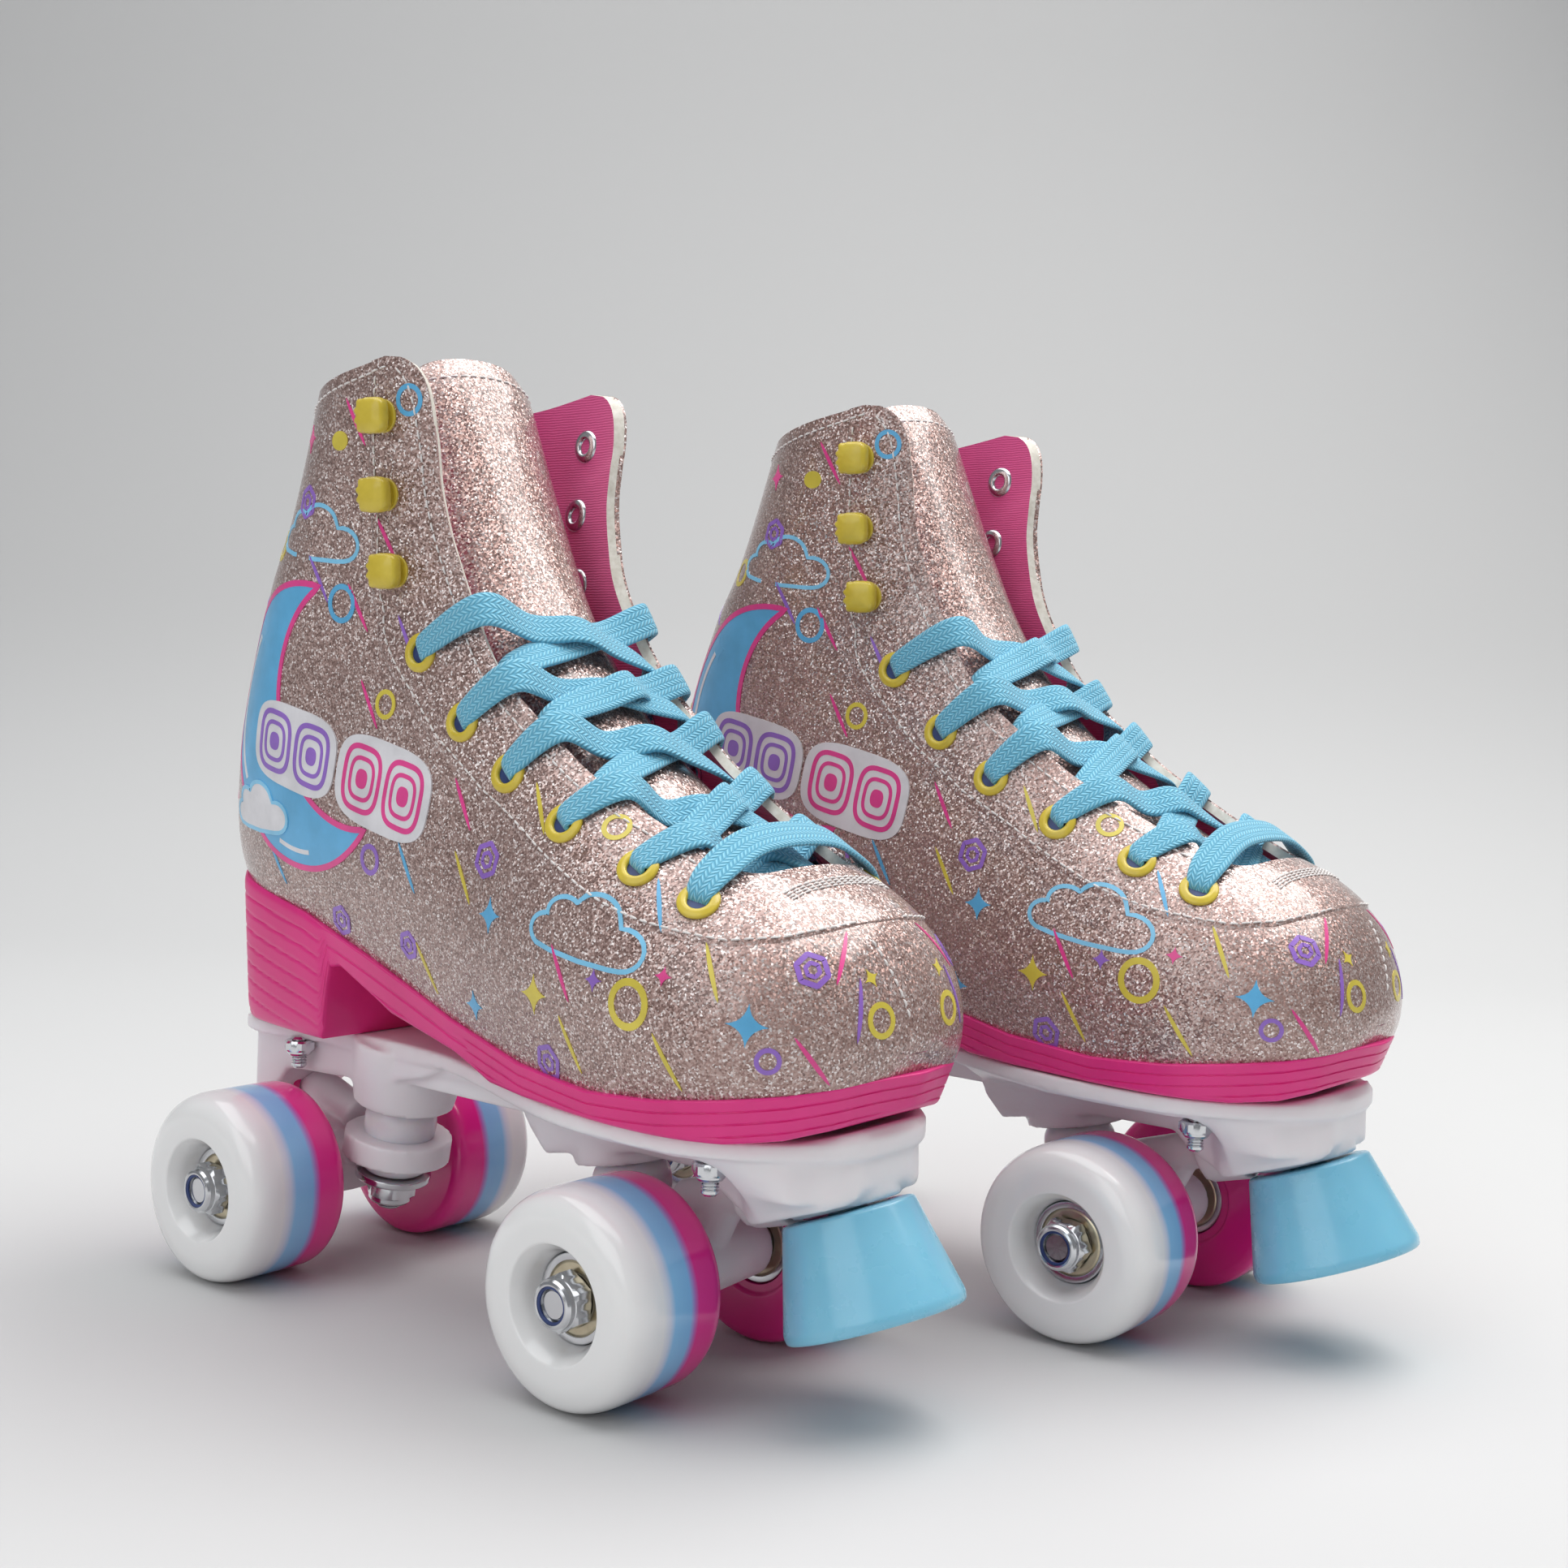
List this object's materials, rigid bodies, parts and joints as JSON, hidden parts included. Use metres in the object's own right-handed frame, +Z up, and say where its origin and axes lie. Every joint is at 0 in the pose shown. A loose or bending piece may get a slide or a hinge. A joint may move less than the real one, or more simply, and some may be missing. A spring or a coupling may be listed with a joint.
{
  "type": "quad roller skates",
  "caption": "Pair of quad roller skates: laced ankle-high boots on plates with sprung steering trucks, free-rolling wheels and toe brakes.",
  "frame": {"origin": "centre of the pair's bounding box at floor level", "axes": "+X towards the toes, +Y towards the wearer's left, +Z up"},
  "size_m": [0.3172, 0.2348, 0.262],
  "materials": {
    "glitter_upper": "glossy rose-gold glitter coating over a soft upper",
    "lace_cloth": "flat herringbone woven cord",
    "sole_rubber": "satin moulded",
    "plate_nylon": "white satin moulded nylon",
    "cushion_urethane": "milky satin urethane",
    "stop_rubber": "glossy moulded",
    "cup_rubber": "satin moulded",
    "fastener_steel": "bright zinc",
    "bearing_steel": "gold bearing shields, satin",
    "wheel_urethane": "glossy moulded urethane"
  },
  "bodies": {
    "right_skate": {"right_upper": "glitter_upper", "right_tongue": "glitter_upper", "right_lace": "lace_cloth", "right_outsole": "sole_rubber", "right_plate": "plate_nylon", "right_toe_stop": "stop_rubber", "right_front_pivot_cup": "cup_rubber", "right_front_kingpin": "fastener_steel", "right_front_upper_cushion": "cushion_urethane", "right_front_lower_cushion": "cushion_urethane", "right_rear_pivot_cup": "cup_rubber", "right_rear_kingpin": "fastener_steel", "right_rear_upper_cushion": "cushion_urethane", "right_rear_lower_cushion": "cushion_urethane"},
    "right_front_truck": {"right_front_hanger": "plate_nylon", "right_front_axle": "fastener_steel", "right_front_inner_axle_nut": "fastener_steel", "right_front_outer_axle_nut": "fastener_steel"},
    "right_front_inner_wheel": {"right_front_inner_wheel": "wheel_urethane", "right_front_inner_bearings": "bearing_steel"},
    "right_front_outer_wheel": {"right_front_outer_wheel": "wheel_urethane", "right_front_outer_bearings": "bearing_steel"},
    "right_rear_truck": {"right_rear_hanger": "plate_nylon", "right_rear_axle": "fastener_steel", "right_rear_inner_axle_nut": "fastener_steel", "right_rear_outer_axle_nut": "fastener_steel"},
    "right_rear_inner_wheel": {"right_rear_inner_wheel": "wheel_urethane", "right_rear_inner_bearings": "bearing_steel"},
    "right_rear_outer_wheel": {"right_rear_outer_wheel": "wheel_urethane", "right_rear_outer_bearings": "bearing_steel"},
    "left_skate": {"left_upper": "glitter_upper", "left_tongue": "glitter_upper", "left_lace": "lace_cloth", "left_outsole": "sole_rubber", "left_plate": "plate_nylon", "left_toe_stop": "stop_rubber", "left_front_pivot_cup": "cup_rubber", "left_front_kingpin": "fastener_steel", "left_front_upper_cushion": "cushion_urethane", "left_front_lower_cushion": "cushion_urethane", "left_rear_pivot_cup": "cup_rubber", "left_rear_kingpin": "fastener_steel", "left_rear_upper_cushion": "cushion_urethane", "left_rear_lower_cushion": "cushion_urethane"},
    "left_front_truck": {"left_front_hanger": "plate_nylon", "left_front_axle": "fastener_steel", "left_front_inner_axle_nut": "fastener_steel", "left_front_outer_axle_nut": "fastener_steel"},
    "left_front_inner_wheel": {"left_front_inner_wheel": "wheel_urethane", "left_front_inner_bearings": "bearing_steel"},
    "left_front_outer_wheel": {"left_front_outer_wheel": "wheel_urethane", "left_front_outer_bearings": "bearing_steel"},
    "left_rear_truck": {"left_rear_hanger": "plate_nylon", "left_rear_axle": "fastener_steel", "left_rear_inner_axle_nut": "fastener_steel", "left_rear_outer_axle_nut": "fastener_steel"},
    "left_rear_inner_wheel": {"left_rear_inner_wheel": "wheel_urethane", "left_rear_inner_bearings": "bearing_steel"},
    "left_rear_outer_wheel": {"left_rear_outer_wheel": "wheel_urethane", "left_rear_outer_bearings": "bearing_steel"}
  },
  "joints": [
    {"name": "left_skate_lift", "type": "slide", "parent": "right_skate", "child": "left_skate", "axis": [0, 0, 1], "range_m": [0, 0.35]},
    {"name": "right_front_steer", "type": "hinge", "parent": "right_skate", "child": "right_front_truck", "pos_m": [-0.00184, -0.0641, 0.036], "axis": [0.9564, 0, 0.2921], "range_deg": [-8, 8], "stiffness_Nm_per_rad": 40, "deforming": ["right_front_upper_cushion", "right_front_lower_cushion"]},
    {"name": "right_front_inner_spin", "type": "hinge", "parent": "right_front_truck", "child": "right_front_inner_wheel", "pos_m": [0.02116, -0.0641, 0.027], "axis": [0, 1, 0], "continuous": true},
    {"name": "right_front_outer_spin", "type": "hinge", "parent": "right_front_truck", "child": "right_front_outer_wheel", "pos_m": [0.02116, -0.0641, 0.027], "axis": [0, 1, 0], "continuous": true},
    {"name": "right_rear_steer", "type": "hinge", "parent": "right_skate", "child": "right_rear_truck", "pos_m": [-0.09744, -0.0641, 0.036], "axis": [-0.9564, 0, 0.2921], "range_deg": [-8, 8], "stiffness_Nm_per_rad": 40, "deforming": ["right_rear_upper_cushion", "right_rear_lower_cushion"]},
    {"name": "right_rear_inner_spin", "type": "hinge", "parent": "right_rear_truck", "child": "right_rear_inner_wheel", "pos_m": [-0.12044, -0.0641, 0.027], "axis": [0, 1, 0], "continuous": true},
    {"name": "right_rear_outer_spin", "type": "hinge", "parent": "right_rear_truck", "child": "right_rear_outer_wheel", "pos_m": [-0.12044, -0.0641, 0.027], "axis": [0, 1, 0], "continuous": true},
    {"name": "left_front_steer", "type": "hinge", "parent": "left_skate", "child": "left_front_truck", "pos_m": [0.05856, 0.0641, 0.036], "axis": [0.9564, 0, 0.2921], "range_deg": [-8, 8], "stiffness_Nm_per_rad": 40, "deforming": ["left_front_upper_cushion", "left_front_lower_cushion"]},
    {"name": "left_front_inner_spin", "type": "hinge", "parent": "left_front_truck", "child": "left_front_inner_wheel", "pos_m": [0.08156, 0.0641, 0.027], "axis": [0, 1, 0], "continuous": true},
    {"name": "left_front_outer_spin", "type": "hinge", "parent": "left_front_truck", "child": "left_front_outer_wheel", "pos_m": [0.08156, 0.0641, 0.027], "axis": [0, 1, 0], "continuous": true},
    {"name": "left_rear_steer", "type": "hinge", "parent": "left_skate", "child": "left_rear_truck", "pos_m": [-0.03704, 0.0641, 0.036], "axis": [-0.9564, 0, 0.2921], "range_deg": [-8, 8], "stiffness_Nm_per_rad": 40, "deforming": ["left_rear_upper_cushion", "left_rear_lower_cushion"]},
    {"name": "left_rear_inner_spin", "type": "hinge", "parent": "left_rear_truck", "child": "left_rear_inner_wheel", "pos_m": [-0.06004, 0.0641, 0.027], "axis": [0, 1, 0], "continuous": true},
    {"name": "left_rear_outer_spin", "type": "hinge", "parent": "left_rear_truck", "child": "left_rear_outer_wheel", "pos_m": [-0.06004, 0.0641, 0.027], "axis": [0, 1, 0], "continuous": true}
  ]
}
